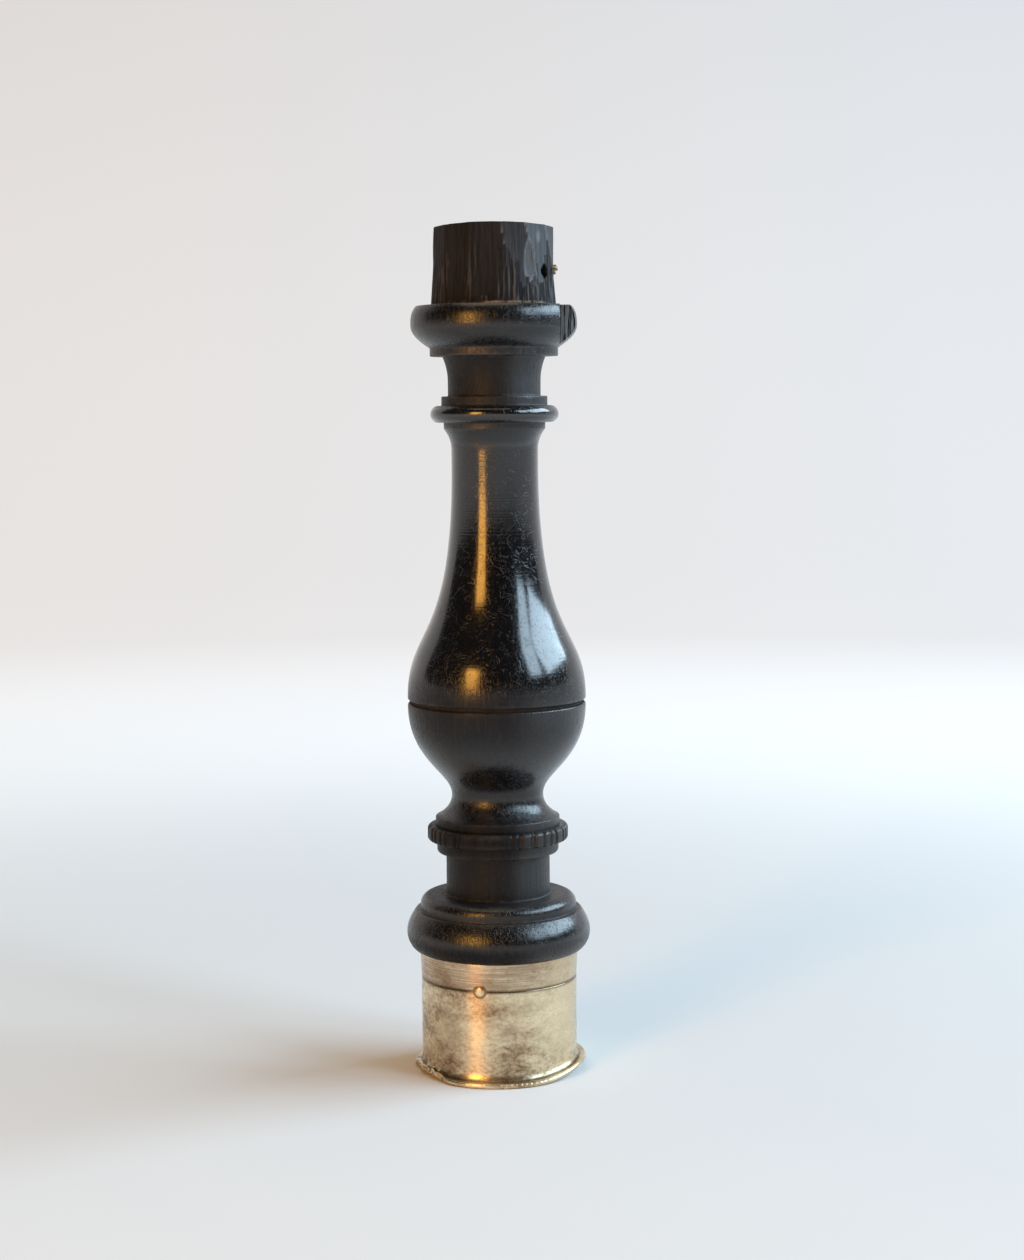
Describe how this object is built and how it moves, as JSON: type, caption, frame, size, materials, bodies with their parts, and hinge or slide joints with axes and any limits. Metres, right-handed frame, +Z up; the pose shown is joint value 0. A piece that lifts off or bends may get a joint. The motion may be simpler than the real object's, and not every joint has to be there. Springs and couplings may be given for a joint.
{
  "type": "wax seal stamp",
  "caption": "Turned ebony desk seal handle of two screwed halves on a silver ferrule with an engraved die face, and a bare tenon on top for a cap.",
  "frame": {"origin": "centre of the die's face, on the surface that the seal stands on", "axes": "+Z up the handle's axis from the die to the tenon, -Y the front with the visible ferrule pin, +X the side with the chipped torus"},
  "size_m": [0.024, 0.024, 0.1097],
  "materials": {
    "ebony": "satin",
    "washer_leather": "matte",
    "silver": "satin",
    "pin_silver": "satin",
    "cement": "matte",
    "stub_wood": "matte"
  },
  "bodies": {
    "seal_end": {"lower_handle": "ebony", "ferrule": "silver", "die_plate": "silver", "cement_bed": "cement", "ferrule_pins": "pin_silver"},
    "joint_washer": {"joint_washer": "washer_leather"},
    "upper_handle": {"upper_handle": "ebony", "broken_pin": "stub_wood"}
  },
  "joints": [
    {"name": "handle_lift", "type": "slide", "parent": "seal_end", "child": "joint_washer", "axis": [0, 0, 1], "range_m": [0, 0.0081]},
    {"name": "handle_turn", "type": "hinge", "parent": "joint_washer", "child": "upper_handle", "pos_m": [0, 0, 0.04885], "axis": [0, 0, 1], "range_deg": [0, 1440]}
  ],
  "couplings": [
    {"joint": "handle_lift", "follows": "handle_turn", "m_per_rad": 0.00031831}
  ]
}
